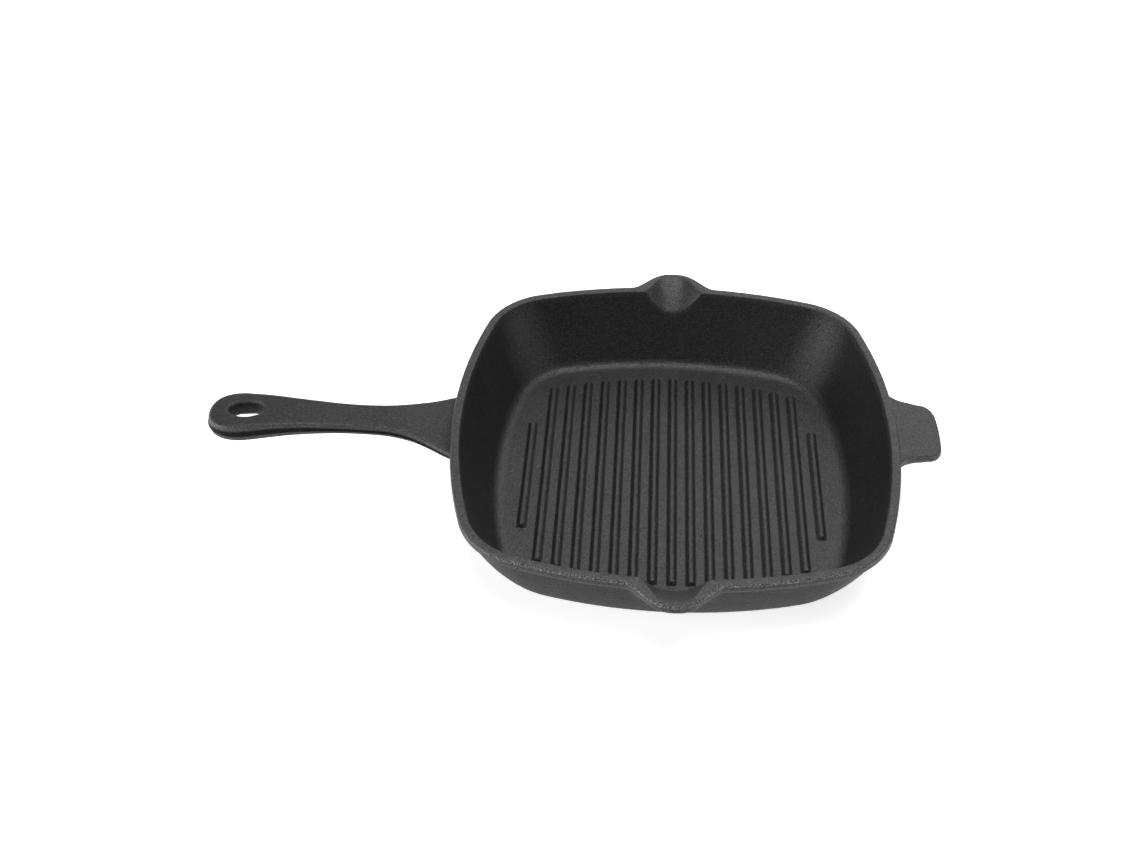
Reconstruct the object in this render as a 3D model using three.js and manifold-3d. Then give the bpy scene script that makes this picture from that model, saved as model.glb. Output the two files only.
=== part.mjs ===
// A square cast-iron grill pan, in millimetres, +Z up. The origin is the middle of the flat base,
// on the surface that the pan stands on. -X points along the main handle, -Y is the front.
//
// The real pan is one sand casting. It is built here as the regions that a pattern maker would name:
// a flat floor, a ring of sloping wall and corner pieces with the rim on top, two pouring spouts,
// seventeen raised grill ribs, a long handle with a hanging hole, and a short helper handle.

import * as THREE from "three";
import { mergeVertices } from "three/addons/utils/BufferGeometryUtils.js";
import Module from "manifold-3d";

const wasm = await Module();
wasm.setup();

// ---------------------------------------------------------------- driving dimensions

const RIM_HALF = 130; // centre to the rim's outer edge, at the middle of a side
const SIDE_RADIUS = 310; // each side bows outwards on this radius
const CORNER_RADIUS = 45; // rim corners, tangent to the sides
const LOW_CORNER_RADIUS = 64; // the rounder outline that the wall runs down to, drawn out to the rim
const HEIGHT = 51; // table to rim top
const FLOOR_TOP = 5; // table to the cooking surface between the ribs
const FLOOR_INSET = 31; // rim edge to the edge of the flat floor

const WALL = 4; // wall thickness
const WALL_LEAN = 9.4; // inward lean of the wall over its height, as if it were straight
const WALL_CURL = 10.9; // extra inward lean that the wall's curve adds by the floor
const FILLET_START = 0.88; // share of the wall's depth where the fillet to the floor begins
const HEEL_START = 0.82; // the same for the outer rounding to the base
const HEEL_OUT = 1.7; // the outer wall, carried down to the table, lands this far outside the inner
const FLOOR_STRIP = 1; // flat strip of floor that each wall piece carries

const RIM_WIDTH = 5.2; // rim top, with its edges
const RIM_EDGE = 0.8; // inner edge break
const RIM_ROUND = 1; // outer edge break
const LIP_DEPTH = 3.8; // height of the rim's outer side face
const LIP_DRAFT = 0.4; // how far that face leans out by its lower edge

const SPOUT_REACH = 15; // how far each spout stands out from the rim
const SPOUT_HALF = 27; // half the length of rim that swings out to the spout
const SPOUT_MOUTH_HALF = 19.5; // half the mouth at the rim's inner edge
const SPOUT_DEPTH = 14.2; // trough depth where it meets the inner wall
const SPOUT_THROAT_HALF = 18.5; // half the trough's width at the inner wall
const SPOUT_BLEND = 18; // height over which the beak runs back into the wall
const REACH_POWER = 1.3; // how broad the beak is at its tip
const MOUTH_POWER = 1.6; // how broad the mouth is at its tip
const BLEND_POWER = 1.5; // how quickly the beak falls back below the lip
const SPOUT_PIECE_HALF = 28; // half the length of the spout's piece of wall

const RIB_PITCH = 10.9;
const RIB_LONG_PAIRS = 7; // long ribs each side of the middle one
const RIBS_SHIFT = 0.8; // the whole set of ribs sits this far to the right
const RIBS_TURN = -0.0066; // and is turned by this much, in radians
const RIB_BASE = 6.4; // rib width at the floor
const RIB_HEIGHT = 2.7;
const RIB_SLOPE = 2.15; // how far the flanks and ends lean in by the top
const RIB_TOP_EDGE = 0.35; // edge break along the top
const RIB_FOOT_RADIUS = 2.5; // corner radii in plan
const RIB_TOP_RADIUS = 0.8;
const RIB_HALF = 90.3; // half length of the middle rib, at the floor
const RIB_END_RADIUS = 230; // the rib ends lie on arcs of this radius
const SHORT_RIB_HALF = 46.7; // outermost ribs
const SHORT_RIB_SHIFT = -3.6; // they sit a little towards the front

// The main handle along its length: distance from the pan's centre, half width, top and thickness.
// It leaves the wall below the rim and sweeps up to a thicker rounded end.
const SHANK = [
  [120, 29.5, 41.6, 5.4],
  [131, 25.2, 41.8, 5.5],
  [137, 22.2, 42.1, 5.6],
  [144, 18.7, 42.9, 5.9],
  [153, 14.9, 44.3, 6.6],
  [165, 11.7, 45.3, 7.1],
  [181, 10.6, 45.6, 6.9],
  [198, 10.8, 46.1, 7.1],
  [214, 11.6, 47, 8.5],
  [230, 13.2, 47.6, 9.8],
  [242, 14.8, 47.7, 10.8],
  [252, 16, 47.3, 11.2],
  [265, 17, 46.9, 10.8],
  [278, 17, 46.6, 10.6],
];
const SHANK_SIDES = 12; // the rows above whose half widths draw the sides; the tip curve follows
const TIP_SWELL = [266, 18.7]; // the rounded end swells towards this point
const TIP_CORNER = 12.6; // half width where its curve turns across the end
const HANDLE_END = 277.8; // centre to the tip
const HANDLE_EDGE = 1.8; // edge break all round
const HOLE_CENTRE = -254;
const HOLE_HALF_LENGTH = 11;
const HOLE_HALF_WIDTH = 7.2;

const TAB_END = 155; // centre to the outer edge of the helper handle
const TAB_HALF = 23.5;
const TAB_TOP = 49;
const TAB_THICK = 5.8;
const TAB_CORNER = 8;
const TAB_BOW = 0.8; // how far the middle of its outer edge bows out
const TAB_ROOT_RADIUS = 8;
const TAB_EDGE = 1.2;

const GAP = 0.3; // clearance where a handle meets the wall
const ROOT_INSIDE = 10; // how far the handle blanks run inside the rim before they are cut to it

const SIDE_STEPS = 8; // rings along a whole side, half of one beside a spout, a corner and a spout
const HALF_SIDE_STEPS = 3;
const CORNER_STEPS = 7;
const SPOUT_STEPS = 18;

const RIGHT_ANGLE = Math.PI / 2;
const [RIGHT, REAR, LEFT, FRONT] = [0, 1, 2, 3].map((quarter) => quarter * RIGHT_ANGLE);
const IRON = { color: 0x34353a, roughness: 0.55, metalness: 0.55 };

// ---------------------------------------------------------------- helpers

// A closed solid through rings of points. Each ring is a flat contour and a function that places it.
function sweptSolid(rings) {
  const loops = rings.map((ring) => ring.contour.map(ring.place));
  const size = loops[0].length;
  const index = [];
  for (let i = 0; i + 1 < loops.length; i++) {
    for (let j = 0; j < size; j++) {
      const next = (j + 1) % size;
      const [a, b] = [i * size + j, i * size + next];
      const [c, d] = [b + size, a + size];
      index.push(a, b, c, a, c, d);
    }
  }
  const cap = ({ contour }) => {
    const faces = THREE.ShapeUtils.triangulateShape(contour, []);
    return THREE.ShapeUtils.isClockWise(contour) ? faces.map((face) => face.reverse()) : faces;
  };
  const last = (loops.length - 1) * size;
  for (const [a, b, c] of cap(rings[0])) index.push(a, c, b);
  for (const [a, b, c] of cap(rings.at(-1))) index.push(last + a, last + b, last + c);
  const geometry = new THREE.BufferGeometry().setFromPoints(loops.flat());
  geometry.setIndex(index);
  return outwards(geometry);
}

// The same geometry with its faces turned to point out of the solid.
function outwards(geometry) {
  const at = (i) => new THREE.Vector3().fromBufferAttribute(geometry.attributes.position, i);
  const index = geometry.index.array;
  let volume = 0;
  for (let i = 0; i < index.length; i += 3) {
    volume += at(index[i]).dot(at(index[i + 1]).cross(at(index[i + 2])));
  }
  if (volume < 0) geometry.setIndex([...index].reverse());
  return geometry;
}

function toSolid(geometry) {
  const bare = geometry.clone();
  bare.deleteAttribute("normal");
  bare.deleteAttribute("uv");
  const merged = mergeVertices(bare);
  const vertProperties = merged.attributes.position.array;
  const triVerts = new Uint32Array(merged.index.array);
  return new wasm.Manifold(new wasm.Mesh({ numProp: 3, vertProperties, triVerts }));
}

function toGeometry(solid) {
  const mesh = solid.getMesh();
  const geometry = new THREE.BufferGeometry();
  geometry.setAttribute("position", new THREE.BufferAttribute(mesh.vertProperties, 3));
  geometry.setIndex(new THREE.BufferAttribute(mesh.triVerts, 1));
  return geometry;
}

// ---------------------------------------------------------------- the pan's outline

const SIDE_OFFSET = SIDE_RADIUS - RIM_HALF;

// The distance from the middle lines to the corner's centre, and the direction where the corner starts.
function cornerOf(radius) {
  const reach = SIDE_RADIUS - radius;
  const centre = (Math.sqrt(2 * reach ** 2 - SIDE_OFFSET ** 2) - SIDE_OFFSET) / 2;
  return { radius, centre, start: Math.atan2(centre, centre + SIDE_OFFSET) };
}
const RIM_CORNER = cornerOf(CORNER_RADIUS);
const LOW_CORNER = cornerOf(LOW_CORNER_RADIUS);
const SIDE_ANGLE = RIM_CORNER.start;
const SPOUT_ANGLE = Math.asin(SPOUT_PIECE_HALF / SIDE_RADIUS);

// The point of an outline with these corners where it faces the given direction.
function outlinePoint(direction, { radius, centre, start }) {
  const quarter = Math.round(direction / RIGHT_ANGLE) * RIGHT_ANGLE;
  const local = direction - quarter;
  const [across, along] = [Math.cos(local), Math.sin(local)];
  const point = new THREE.Vector2(SIDE_RADIUS * across - SIDE_OFFSET, SIDE_RADIUS * along);
  if (Math.abs(local) > start) {
    point.set(centre + radius * across, Math.sign(local) * centre + radius * along);
  }
  return point.rotateAround(new THREE.Vector2(), quarter);
}

// Places a section point, given as distance out from the rim edge and height, at a direction.
// Below the lip the outline turns into the rounder one.
function placeAt(direction) {
  const rim = outlinePoint(direction, RIM_CORNER);
  const low = outlinePoint(direction, LOW_CORNER);
  const normal = new THREE.Vector2(Math.cos(direction), Math.sin(direction));
  return ({ x: out, y: height }) => {
    const drop = (HEIGHT - LIP_DEPTH - height) / (HEIGHT - LIP_DEPTH - FLOOR_TOP);
    const point = rim.clone().lerp(low, THREE.MathUtils.clamp(drop, 0, 1));
    point.addScaledVector(normal, out);
    return new THREE.Vector3(point.x, point.y, height);
  };
}

function directions(from, to, steps) {
  return Array.from({ length: steps + 1 }, (_, i) => THREE.MathUtils.lerp(from, to, i / steps));
}

// ---------------------------------------------------------------- the wall's section

const WALL_DROP = HEIGHT - FLOOR_TOP;

// The inner face of the wall, from the rim at 0 to its meeting with the floor at 1.
function innerWall(share) {
  const inset = RIM_WIDTH + WALL_LEAN * share + WALL_CURL * share ** 2;
  return new THREE.Vector2(-inset, HEIGHT - WALL_DROP * share);
}

// The outer face runs a wall's thickness outside it.
function outerWall(share) {
  const normal = new THREE.Vector2(WALL_DROP, -(WALL_LEAN + 2 * WALL_CURL * share)).normalize();
  return innerWall(share).addScaledVector(normal, WALL);
}

// A smooth hump: 1 in the middle, 0 at the ends; a higher power gives it a broader top.
const hump = (share, power) => (share < 1 ? (1 + Math.cos(Math.PI * share ** power)) / 2 : 0);

// The closed section at a distance along the rim from a spout's middle. Far from a spout the
// mouth and the reach are nothing, and the trough is only the rim's inner edge break.
function wallSection(fromSpout = Infinity, troughSteps = 1) {
  const away = Math.abs(fromSpout);
  const reach = SPOUT_REACH * hump(away / SPOUT_HALF, REACH_POWER);
  const mouth = SPOUT_REACH * hump(away / SPOUT_MOUTH_HALF, MOUTH_POWER);
  const throat = SPOUT_DEPTH * Math.max(0, 1 - (away / SPOUT_THROAT_HALF) ** 2);
  const crease = Math.max(throat, RIM_EDGE) / WALL_DROP;

  const fillet = new THREE.QuadraticBezierCurve(
    new THREE.Vector2(FLOOR_STRIP - FLOOR_INSET, FLOOR_TOP),
    innerWall(1),
    innerWall(FILLET_START),
  );
  const inside = [0.2, 0.4, 0.6, 0.8, 1].map((t) => {
    return innerWall(THREE.MathUtils.lerp(FILLET_START, crease, t));
  });
  const lipInner = new THREE.Vector2(mouth - RIM_WIDTH + RIM_EDGE, HEIGHT);
  const trough = new THREE.LineCurve(innerWall(crease), lipInner).getPoints(troughSteps).slice(1);

  const lip = [
    new THREE.Vector2(reach - RIM_ROUND, HEIGHT),
    new THREE.Vector2(reach, HEIGHT - RIM_ROUND),
    new THREE.Vector2(reach + LIP_DRAFT, HEIGHT - LIP_DEPTH),
  ];
  const beak = (point) => {
    const drop = THREE.MathUtils.clamp((HEIGHT - LIP_DEPTH - point.y) / SPOUT_BLEND, 0, 1);
    return point.setX(point.x + reach * (1 - drop) ** BLEND_POWER);
  };
  const outside = [0.08, 0.2, 0.3, 0.4, 0.6].map((t) => beak(outerWall(t)));
  const heel = new THREE.QuadraticBezierCurve(
    outerWall(HEEL_START),
    new THREE.Vector2(innerWall(1).x + HEEL_OUT, 0),
    new THREE.Vector2(FLOOR_STRIP - FLOOR_INSET, 0),
  );
  const joint = [new THREE.Vector2(-FLOOR_INSET, 0), new THREE.Vector2(-FLOOR_INSET, FLOOR_TOP)];
  const wall = [...fillet.getPoints(3), ...inside, ...trough, ...lip, ...outside];
  return [...wall, ...heel.getPoints(3), ...joint];
}

function wallPiece(from, to, steps) {
  const contour = wallSection();
  return sweptSolid(directions(from, to, steps).map((turn) => ({ contour, place: placeAt(turn) })));
}

function spoutPiece(middle) {
  const turns = directions(middle - SPOUT_ANGLE, middle + SPOUT_ANGLE, SPOUT_STEPS);
  const rings = turns.map((turn) => {
    const along = SIDE_RADIUS * Math.sin(turn - middle);
    return { contour: wallSection(along, 3), place: placeAt(turn) };
  });
  return sweptSolid(rings);
}

// ---------------------------------------------------------------- floor and ribs

function floorPiece(turns) {
  const edge = turns.map((turn) => placeAt(turn)(new THREE.Vector2(-FLOOR_INSET, 0)));
  const shape = new THREE.Shape(edge.map(({ x, y }) => new THREE.Vector2(x, y)));
  return new THREE.ExtrudeGeometry(shape, { depth: FLOOR_TOP, bevelEnabled: false });
}

// A rib is a bar with drafted flanks and ends, its corners rounded in plan.
function ribPiece(centre, halfLength) {
  const at = (p, height) => {
    const point = new THREE.Vector2(centre.x + p.x, centre.y + p.y);
    point.rotateAround(new THREE.Vector2(), RIBS_TURN);
    return new THREE.Vector3(point.x + RIBS_SHIFT, point.y, height);
  };
  const ring = (inset, height, radius) => {
    const [x, y] = [RIB_BASE / 2 - inset, halfLength - inset];
    const shape = new THREE.Shape();
    shape.moveTo(x, radius - y);
    shape.absarc(x - radius, y - radius, radius, 0, RIGHT_ANGLE);
    shape.absarc(radius - x, y - radius, radius, RIGHT_ANGLE, 2 * RIGHT_ANGLE);
    shape.absarc(radius - x, radius - y, radius, 2 * RIGHT_ANGLE, 3 * RIGHT_ANGLE);
    shape.absarc(x - radius, radius - y, radius, 3 * RIGHT_ANGLE, 4 * RIGHT_ANGLE);
    const contour = shape.getPoints(2).slice(0, -1);
    return { contour, place: (p) => at(p, height) };
  };
  const top = FLOOR_TOP + RIB_HEIGHT;
  return sweptSolid([
    ring(0, FLOOR_TOP, RIB_FOOT_RADIUS),
    ring(RIB_SLOPE, top - RIB_TOP_EDGE, RIB_TOP_RADIUS),
    ring(RIB_SLOPE + RIB_TOP_EDGE, top, RIB_TOP_RADIUS - RIB_TOP_EDGE),
  ]);
}

function longRibHalf(x) {
  return RIB_HALF - RIB_END_RADIUS + Math.sqrt(RIB_END_RADIUS ** 2 - x ** 2);
}

// ---------------------------------------------------------------- handles

// Everything inside the pan's outer surface, on the side that faces the given direction.
function wallCutter(direction) {
  const [above, within] = [HEIGHT + 10, -2 * FLOOR_INSET];
  const edge = [
    new THREE.Vector2(0, above),
    new THREE.Vector2(0, HEIGHT - RIM_ROUND),
    new THREE.Vector2(LIP_DRAFT, HEIGHT - LIP_DEPTH),
    ...[0.08, 0.2, 0.4, 0.6, HEEL_START].map(outerWall),
  ];
  const contour = [
    ...edge.map((point) => point.setX(point.x + GAP)),
    new THREE.Vector2(within, outerWall(HEEL_START).y),
    new THREE.Vector2(within, above),
  ];
  const turns = directions(direction - SIDE_ANGLE, direction + SIDE_ANGLE, SIDE_STEPS);
  return toSolid(sweptSolid(turns.map((turn) => ({ contour, place: placeAt(turn) }))));
}

// A plate of the given outline with broken edges. A function of x gives its top and thickness.
function plate(shape, edge, facesAt) {
  const geometry = new THREE.ExtrudeGeometry(shape, {
    depth: 1,
    steps: 1,
    bevelThickness: edge,
    bevelSize: edge,
    bevelOffset: -edge,
    bevelSegments: 2,
  });
  const position = geometry.attributes.position;
  for (let i = 0; i < position.count; i++) {
    const z = position.getZ(i);
    const { top, thick } = facesAt(position.getX(i));
    position.setZ(i, z > 0.5 ? top - (1 + edge - z) : top - thick + (z + edge));
  }
  return toSolid(geometry);
}

// A shape that is the same on both sides of the X axis, from the points of its +Y half.
function mirroredShape(half) {
  const other = half.filter(({ y }) => y > 0).reverse();
  return new THREE.Shape([...half, ...other.map(({ x, y }) => new THREE.Vector2(x, -y))]);
}

// The handle's top and thickness at a distance from the pan's centre.
function handleFaces(distance) {
  const after = SHANK.findIndex(([reach]) => reach > distance);
  const [low, high] = after > 0 ? [SHANK[after - 1], SHANK[after]] : [SHANK.at(-1), SHANK.at(-1)];
  const share = high === low ? 0 : (distance - low[0]) / (high[0] - low[0]);
  const [, , top, thick] = low.map((value, i) => THREE.MathUtils.lerp(value, high[i], share));
  return { top, thick };
}

function handlePiece() {
  const point = ([reach, half]) => new THREE.Vector2(-reach, half);
  const [root, ...shank] = SHANK.slice(0, SHANK_SIDES).map(point);
  const tip = new THREE.CubicBezierCurve(
    shank.at(-1),
    point(TIP_SWELL),
    point([HANDLE_END, TIP_CORNER]),
    point([HANDLE_END, 0]),
  );
  const sides = new THREE.SplineCurve(shank).getPoints(20);
  const shape = mirroredShape([root, ...sides, ...tip.getPoints(8).slice(1)]);
  const hole = new THREE.EllipseCurve(HOLE_CENTRE, 0, HOLE_HALF_LENGTH, HOLE_HALF_WIDTH);
  shape.holes.push(new THREE.Path(hole.getPoints(20).slice(1)));
  const solid = plate(shape, HANDLE_EDGE, (x) => handleFaces(-x));
  return toGeometry(solid.subtract(wallCutter(LEFT)));
}

function tabPiece() {
  const edge = TAB_END - TAB_BOW;
  const rootHalf = TAB_HALF + TAB_ROOT_RADIUS;
  const root = new THREE.QuadraticBezierCurve(
    new THREE.Vector2(RIM_HALF - 1, rootHalf),
    new THREE.Vector2(RIM_HALF + 1, TAB_HALF),
    new THREE.Vector2(RIM_HALF + TAB_ROOT_RADIUS + 2, TAB_HALF),
  );
  const corner = new THREE.QuadraticBezierCurve(
    new THREE.Vector2(edge - TAB_CORNER, TAB_HALF),
    new THREE.Vector2(edge, TAB_HALF),
    new THREE.Vector2(edge, TAB_HALF - TAB_CORNER),
  );
  const start = new THREE.Vector2(RIM_HALF - ROOT_INSIDE, rootHalf);
  const end = new THREE.Vector2(TAB_END, 0);
  const shape = mirroredShape([start, ...root.getPoints(4), ...corner.getPoints(5), end]);
  const solid = plate(shape, TAB_EDGE, () => ({ top: TAB_TOP, thick: TAB_THICK }));
  return toGeometry(solid.subtract(wallCutter(RIGHT)));
}

// ---------------------------------------------------------------- assembly

const pan = new THREE.Group();

function add(name, geometry) {
  geometry.computeVertexNormals();
  const mesh = new THREE.Mesh(geometry, new THREE.MeshStandardMaterial(IRON));
  mesh.name = name;
  pan.add(mesh);
}

add("wall_right", wallPiece(RIGHT - SIDE_ANGLE, RIGHT + SIDE_ANGLE, SIDE_STEPS));
add("wall_left", wallPiece(LEFT - SIDE_ANGLE, LEFT + SIDE_ANGLE, SIDE_STEPS));
add("wall_rear_right", wallPiece(REAR - SIDE_ANGLE, REAR - SPOUT_ANGLE, HALF_SIDE_STEPS));
add("wall_rear_left", wallPiece(REAR + SPOUT_ANGLE, REAR + SIDE_ANGLE, HALF_SIDE_STEPS));
add("wall_front_left", wallPiece(FRONT - SIDE_ANGLE, FRONT - SPOUT_ANGLE, HALF_SIDE_STEPS));
add("wall_front_right", wallPiece(FRONT + SPOUT_ANGLE, FRONT + SIDE_ANGLE, HALF_SIDE_STEPS));
add("corner_rear_right", wallPiece(RIGHT + SIDE_ANGLE, REAR - SIDE_ANGLE, CORNER_STEPS));
add("corner_rear_left", wallPiece(REAR + SIDE_ANGLE, LEFT - SIDE_ANGLE, CORNER_STEPS));
add("corner_front_left", wallPiece(LEFT + SIDE_ANGLE, FRONT - SIDE_ANGLE, CORNER_STEPS));
add("corner_front_right", wallPiece(FRONT + SIDE_ANGLE, FRONT + RIGHT_ANGLE - SIDE_ANGLE, CORNER_STEPS));
add("spout_rear", spoutPiece(REAR));
add("spout_front", spoutPiece(FRONT));

const floorTurns = [];
for (const side of [RIGHT, REAR, LEFT, FRONT]) {
  const spoutSide = side === REAR || side === FRONT;
  const arcs = spoutSide
    ? [
        ...directions(side - SIDE_ANGLE, side - SPOUT_ANGLE, HALF_SIDE_STEPS).slice(1),
        ...directions(side - SPOUT_ANGLE, side + SPOUT_ANGLE, SPOUT_STEPS).slice(1),
        ...directions(side + SPOUT_ANGLE, side + SIDE_ANGLE, HALF_SIDE_STEPS).slice(1),
      ]
    : directions(side - SIDE_ANGLE, side + SIDE_ANGLE, SIDE_STEPS).slice(1);
  const corner = directions(side + SIDE_ANGLE, side + RIGHT_ANGLE - SIDE_ANGLE, CORNER_STEPS);
  floorTurns.push(...arcs, ...corner.slice(1));
}
add("pan_floor", floorPiece(floorTurns));

const ribCount = 2 * RIB_LONG_PAIRS + 3;
for (let i = 0; i < ribCount; i++) {
  const x = (i - (ribCount - 1) / 2) * RIB_PITCH;
  const short = i === 0 || i === ribCount - 1;
  const centre = new THREE.Vector2(x, short ? SHORT_RIB_SHIFT : 0);
  const name = "grill_rib_" + String(i + 1).padStart(2, "0");
  add(name, ribPiece(centre, short ? SHORT_RIB_HALF : longRibHalf(x)));
}

add("main_handle", handlePiece());
add("helper_handle", tabPiece());

export default pan;
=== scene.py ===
"""Looks for a square cast-iron grill pan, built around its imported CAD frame.

Shapes are worked out in millimetres, in the CAD frame: +Z up, -X along the main handle, -Y the front.
Each visible piece stands for one CAD node and repeats its dimensions with finer edges and fillets."""
import itertools
import math

import bpy
import numpy as np
from mathutils import Matrix, Vector


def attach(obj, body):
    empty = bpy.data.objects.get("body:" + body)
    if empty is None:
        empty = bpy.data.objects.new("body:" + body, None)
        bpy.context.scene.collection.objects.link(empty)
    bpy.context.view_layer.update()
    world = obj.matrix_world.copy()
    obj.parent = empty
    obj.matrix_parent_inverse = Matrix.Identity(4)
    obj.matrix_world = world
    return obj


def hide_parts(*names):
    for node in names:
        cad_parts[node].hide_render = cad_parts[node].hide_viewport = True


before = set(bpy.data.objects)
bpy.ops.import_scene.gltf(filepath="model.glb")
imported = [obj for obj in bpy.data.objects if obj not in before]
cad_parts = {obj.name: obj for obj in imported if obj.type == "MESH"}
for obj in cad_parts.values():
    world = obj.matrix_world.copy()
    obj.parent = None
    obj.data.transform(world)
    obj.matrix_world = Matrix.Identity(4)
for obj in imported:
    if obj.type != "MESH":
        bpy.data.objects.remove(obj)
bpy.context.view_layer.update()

# ---------------------------------------------------------------- dimensions shared with the CAD

QUARTER = math.pi / 2
RIGHT, REAR, LEFT, FRONT = 0.0, QUARTER, 2 * QUARTER, 3 * QUARTER
MM = 0.001

RIM_HALF = 130.0  # centre to the rim's outer edge, at the middle of a side
SIDE_RADIUS = 310.0  # of the bow of each side, in plan
CORNER_RADIUS = 45.0
LOW_CORNER_RADIUS = 64.0  # the rounder outline that the wall runs down to, drawn out to the rim
HEIGHT = 50.9  # rim top; the casting's unevenness stays under the CAD's 51 mm
FLOOR_TOP = 5.0
FLOOR_INSET = 31.0  # rim edge to the edge of the flat floor
FLOOR_STRIP = 1.0

WALL = 4.0
WALL_LEAN = 9.4
WALL_CURL = 10.9
FILLET_START = 0.93  # shares of the wall's height, from the rim down
HEEL_START = 0.82
UNDER_LIP = 0.175
UNDER_LIP_BEND = 0.115
HEEL_OUT = 1.7
WALL_DROP = HEIGHT - FLOOR_TOP

RIM_WIDTH = 5.2
RIM_EDGE = 0.9  # inner edge rounding
RIM_ROUND = 1.25  # outer edge rounding
LIP_DEPTH = 3.9

SPOUT_REACH = 14.8
SPOUT_HALF = 27.0
SPOUT_MOUTH_REACH = 16.6  # the trough runs out close to the lip's edge
SPOUT_MOUTH_HALF = 19.5
SPOUT_DEPTH = 14.2
SPOUT_THROAT_HALF = 18.5
SPOUT_BLEND = 18.0
SPOUT_PIECE_HALF = 28.0
RING_SPACING = 0.75  # between the points along the rim
INNER_ROWS = slice(10, 34)  # the section's points on the inner wall
FLOOR_SPACING = 1.6

# A point's finish: 1 is ground bright, partly a painted highlight, 0 is plain, and below 0 the iron is
# painted darker, as shade, and rough.
GROUND = 1.0
# a faint painted highlight along the lip's lower ridge
LIP_RIDGE = 0.12
# painted shade on the outer wall, darker towards the base
OUTER_TOP = -0.75
OUTER_LOW = -0.9
# the handle's faces are painted a little darker
HANDLE_FACE = -0.25
# painted shade on the hanging hole's wall
HOLE_WALL = -0.8
HOLE_RIM = 0.1
RIB_EDGE = 0.25

SIDE_OFFSET = SIDE_RADIUS - RIM_HALF


def corner_of(radius):
    """A corner's radius, its centre's distance from the middle lines, and the direction it starts at."""
    centre = (math.sqrt(2 * (SIDE_RADIUS - radius) ** 2 - SIDE_OFFSET**2) - SIDE_OFFSET) / 2
    return radius, centre, math.atan2(centre, centre + SIDE_OFFSET)


RIM_CORNER = corner_of(CORNER_RADIUS)
LOW_CORNER = corner_of(LOW_CORNER_RADIUS)
SIDE_ANGLE = RIM_CORNER[2]
SPOUT_ANGLE = math.asin(SPOUT_PIECE_HALF / SIDE_RADIUS)

# ---------------------------------------------------------------- numeric helpers


def mix(a, b, t):
    return a + (b - a) * t


def smooth(t):
    t = np.clip(t, 0, 1)
    return t * t * (3 - 2 * t)


def bezier(a, b, c, t):
    return (1 - t) ** 2 * a + 2 * t * (1 - t) * b + t**2 * c


def unit(v):
    return v / np.maximum(np.linalg.norm(v, axis=-1, keepdims=True), 1e-12)


def noise(points, cell, seed):
    """Smooth value noise from -1 to 1 at each point, with features about one cell across."""
    place = points / cell + 7.31 * seed + 1000.0
    low = np.floor(place).astype(np.int64)
    part = place - low
    part = part * part * (3 - 2 * part)
    total = np.zeros(points.shape[:-1])
    for corner in itertools.product((0, 1), repeat=3):
        x, y, z = (low[..., k] + corner[k] for k in range(3))
        mixed = (x * 73856093) ^ (y * 19349663) ^ (z * 83492791) ^ (seed * 2654435)
        mixed = ((mixed ^ (mixed >> 13)) * 1274126177) & 0x7FFFFFFF
        value = ((mixed >> 7) & 0xFFFF) / 32767.5 - 1
        weight = np.prod([part[..., k] if corner[k] else 1 - part[..., k] for k in range(3)], axis=0)
        total += weight * value
    return total


def grid_normals(grid):
    """Unit normals of a grid of points, rows by columns by 3."""
    return unit(np.cross(np.gradient(grid, axis=0), np.gradient(grid, axis=1)))


def ring_normals(grid):
    """The same for a grid whose last column joins its first."""
    shut = np.concatenate([grid[:, -1:], grid, grid[:, :1]], axis=1)
    return grid_normals(shut)[:, 1:-1]


def agreeing(normals, wanted):
    """The normals, turned over if they point against the wanted ones on the whole."""
    return normals if (normals * wanted).sum() > 0 else -normals


def unevenness(points, rough=0.0):
    """How far the cast skin stands from its true shape, in mm, at each point."""
    swell = 0.07 * noise(points, 17.0, 1) + 0.035 * noise(points, 6.0, 2)
    return swell + rough * (0.5 * noise(points, 1.7, 3) + 0.5 * noise(points, 0.8, 4))


# ---------------------------------------------------------------- meshes from grids


class Skin:
    """Gathers the faces of one piece, in mm, each point with its normal and its finish, which holds both
    wear and painted light.
    """

    def __init__(self):
        self.points, self.normals, self.wear, self.faces = [], [], [], []
        self.count = 0

    def add(self, points, normals, wear=0.0):
        flat = points.reshape(-1, 3)
        self.points.append(flat)
        self.normals.append(np.broadcast_to(normals, points.shape).reshape(-1, 3))
        self.wear.append(np.broadcast_to(wear, points.shape[:-1]).reshape(-1))
        ids = np.arange(self.count, self.count + len(flat)).reshape(points.shape[:-1])
        self.count += len(flat)
        return ids

    def quads(self, ids, closed=False):
        """Faces over a grid of point ids; closed joins its last column to its first."""
        if closed:
            ids = np.concatenate([ids, ids[:, :1]], axis=1)
        a, b, c, d = ids[:-1, :-1], ids[1:, :-1], ids[1:, 1:], ids[:-1, 1:]
        self.faces.extend(np.stack([a, b, c, d], axis=-1).reshape(-1, 4).tolist())

    def polygon(self, points, normal, wear=0.0):
        self.faces.append(self.add(points, np.asarray(normal, float), wear).tolist())

    def build(self, name, node, material):
        """The finished object, riding on the pan in place of its CAD node."""
        points = np.concatenate(self.points)
        normals = unit(np.concatenate(self.normals))
        wear = np.concatenate(self.wear)
        mesh = bpy.data.meshes.new(name)
        mesh.from_pydata((points * MM).tolist(), [], turned_out(points, normals, self.faces))
        mesh.polygons.foreach_set("use_smooth", np.ones(len(mesh.polygons), bool))
        mesh.attributes.new("wear", "FLOAT", "POINT").data.foreach_set("value", wear.astype(np.float32))
        mesh.normals_split_custom_set_from_vertices(normals.tolist())
        mesh.materials.append(material)
        piece = bpy.data.objects.new(name, mesh)
        bpy.context.scene.collection.objects.link(piece)
        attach(piece, "root")
        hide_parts(node)
        return piece


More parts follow.
